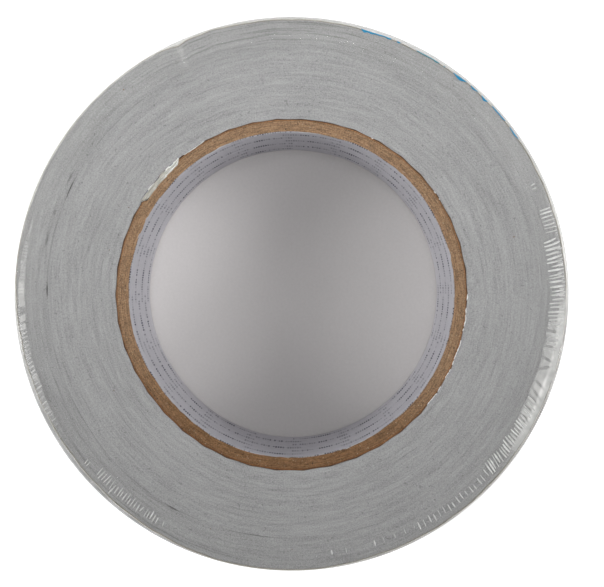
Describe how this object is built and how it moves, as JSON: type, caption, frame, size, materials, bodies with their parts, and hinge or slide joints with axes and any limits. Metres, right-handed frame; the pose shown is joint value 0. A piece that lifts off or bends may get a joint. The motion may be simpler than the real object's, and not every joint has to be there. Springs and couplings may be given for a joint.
{
  "type": "duct tape roll",
  "caption": "Roll of silver-grey cloth-backed tape on a spiral-wound board core, with a paper label band, in clear shrink film folded over both end faces.",
  "frame": {"origin": "On the roll's axis, at the bottom of the shrink film, where the roll rests on its end face.", "axes": "+Z is the roll's axis, pointing up out of the face that is seen; +X and +Y lie in the end face."},
  "size_m": [0.13, 0.13, 0.0486],
  "materials": {
    "liner_paper": "matt white paper with a faint lilac cast and rows of small grey-blue dashes",
    "kraft_board": "cut brown board, grainy, with dark and pale fibres",
    "tab_foil": "crumpled bright foil",
    "tape_edges": "sliced edges of many turns of tape, fine concentric streaks",
    "tape_adhesive": "pale grey rubber adhesive",
    "tape_scrim": "open-weave cloth scrim",
    "tape_backing": "silver-grey polyethylene with the scrim's weave pressed through it",
    "label_paper": "printed paper band, cream with plain blue bands",
    "clear_film": "clear glossy shrink film with whitish pleats"
  },
  "bodies": {
    "root": {"core_liner": "liner_paper", "core_ply_1": "kraft_board", "core_ply_2": "kraft_board", "core_ply_3": "kraft_board", "core_ply_4": "kraft_board", "core_ply_5": "kraft_board", "core_ply_6": "kraft_board", "tape_start_tab": "tab_foil", "tape_winding": "tape_edges", "last_turn_adhesive": "tape_adhesive", "last_turn_scrim": "tape_scrim", "last_turn_backing": "tape_backing", "label_band": "label_paper", "shrink_film": "clear_film"}
  },
  "joints": []
}
